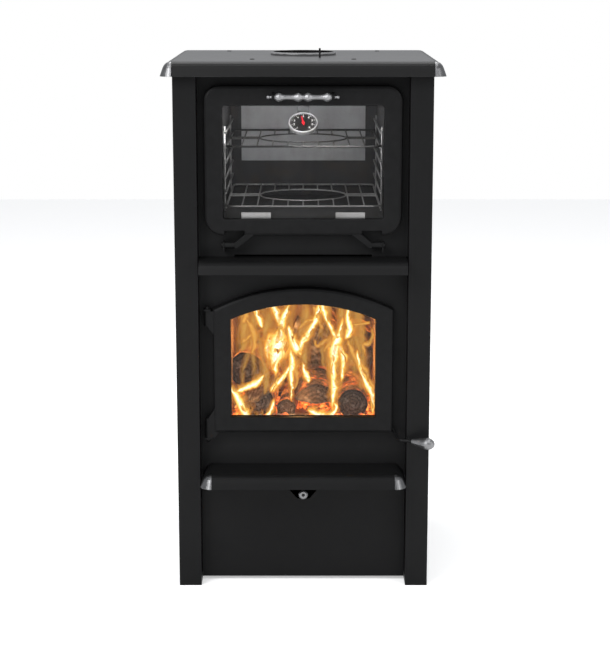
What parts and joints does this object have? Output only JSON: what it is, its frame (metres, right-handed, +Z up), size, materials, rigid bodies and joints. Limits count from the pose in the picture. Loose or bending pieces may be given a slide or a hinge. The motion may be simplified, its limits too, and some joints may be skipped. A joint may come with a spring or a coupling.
{
  "type": "wood cookstove",
  "caption": "Upright wood-burning cookstove with a glazed oven above an arched firebox door, ash drawer, flue collar and rolled cooktop with nickel corners",
  "frame": {"origin": "middle of the bounding box, on the floor under the posts", "axes": "+Z up, the doors face -Y, +X is to the right of a person who faces the doors"},
  "size_m": [0.6666, 0.6473, 1.304],
  "materials": {
    "stove_paint": "satin black stove paint",
    "panel_paint": "matte black stove paint",
    "cast_iron": "satin black",
    "cooktop_steel": "dark seasoned steel with a sheen",
    "shell_steel": "sooty",
    "nickel": "polished nickel",
    "stainless": "bright stainless steel",
    "oven_steel": "stainless oven lining",
    "wire": "plated wire",
    "firebrick": "matte, sooted",
    "gasket": "braided fibre",
    "door_glass": "clear ceramic glass",
    "dial": "black dial in a bright rim",
    "needle": "red"
  },
  "bodies": {
    "stove": {"left_front_post": "stove_paint", "right_front_post": "stove_paint", "left_rear_post": "stove_paint", "right_rear_post": "stove_paint", "left_side_panel": "stove_paint", "right_side_panel": "stove_paint", "back_panel": "stove_paint", "base_plate": "panel_paint", "cooktop": "cooktop_steel", "cooktop_cap_left": "nickel", "cooktop_cap_right": "nickel", "flue_collar": "cooktop_steel", "smoke_baffle": "oven_steel", "oven_front_panel": "panel_paint", "middle_ledge": "stove_paint", "firebox_front_panel": "panel_paint", "hearth_ledge": "stove_paint", "hearth_cap_left": "nickel", "hearth_cap_right": "nickel", "oven_box": "oven_steel", "oven_back_shield": "stainless", "rack_ladder_left": "wire", "rack_ladder_right": "wire", "lower_rack": "wire", "upper_rack": "wire", "thermometer_strap": "stainless", "thermometer_case": "dial", "firebox_shell": "shell_steel", "firebrick_floor": "firebrick", "firebrick_left": "firebrick", "firebrick_right": "firebrick", "firebrick_back": "firebrick", "grate": "cast_iron", "flame_baffle": "firebrick", "air_box": "panel_paint", "oven_hinge_bracket_left": "cast_iron", "oven_hinge_bracket_right": "cast_iron", "fire_hinge_bracket_upper": "cast_iron", "fire_hinge_bracket_lower": "cast_iron", "latch_keeper": "cast_iron"},
    "oven_door": {"oven_door_frame": "cast_iron", "oven_door_glass": "door_glass", "oven_door_gasket": "gasket", "oven_glass_clip_left": "stainless", "oven_glass_clip_right": "stainless", "oven_handle_post_left": "cast_iron", "oven_handle_post_right": "cast_iron", "oven_door_grip": "nickel"},
    "firebox_door": {"fire_door_frame": "cast_iron", "fire_door_glass": "door_glass", "fire_door_gasket": "gasket"},
    "door_latch": {"latch_lever": "cast_iron", "latch_grip": "nickel"},
    "ash_drawer": {"ash_drawer_front": "stove_paint", "ash_pan": "panel_paint"},
    "air_control": {"air_slider": "cast_iron", "air_knob": "nickel"},
    "damper": {"bypass_damper": "cast_iron"},
    "needle": {"thermometer_needle": "needle"}
  },
  "joints": [
    {"name": "oven_door_hinge", "type": "hinge", "parent": "stove", "child": "oven_door", "pos_m": [0, -0.21635, 0.8455], "axis": [1, 0, 0], "range_deg": [0, 90]},
    {"name": "firebox_door_hinge", "type": "hinge", "parent": "stove", "child": "firebox_door", "pos_m": [-0.231, -0.21435, 0.53], "axis": [0, 0, -1], "range_deg": [0, 100]},
    {"name": "door_latch_turn", "type": "hinge", "parent": "firebox_door", "child": "door_latch", "pos_m": [0.209, -0.2065, 0.402], "axis": [0, -1, 0], "range_deg": [0, 35]},
    {"name": "ash_drawer_slide", "type": "slide", "parent": "stove", "child": "ash_drawer", "axis": [0, -1, 0], "range_m": [0, 0.3]},
    {"name": "air_control_slide", "type": "slide", "parent": "stove", "child": "air_control", "axis": [0, -1, 0], "range_m": [0, 0.04]},
    {"name": "damper_lift", "type": "slide", "parent": "stove", "child": "damper", "axis": [0, 0, 1], "range_m": [0, 0.035]},
    {"name": "thermometer_needle_turn", "type": "hinge", "parent": "stove", "child": "needle", "pos_m": [0, 0.01965, 1.1185], "axis": [0, -0.6018, 0.7986], "range_deg": [-80, 190], "stiffness_Nm_per_rad": 0.00002}
  ]
}
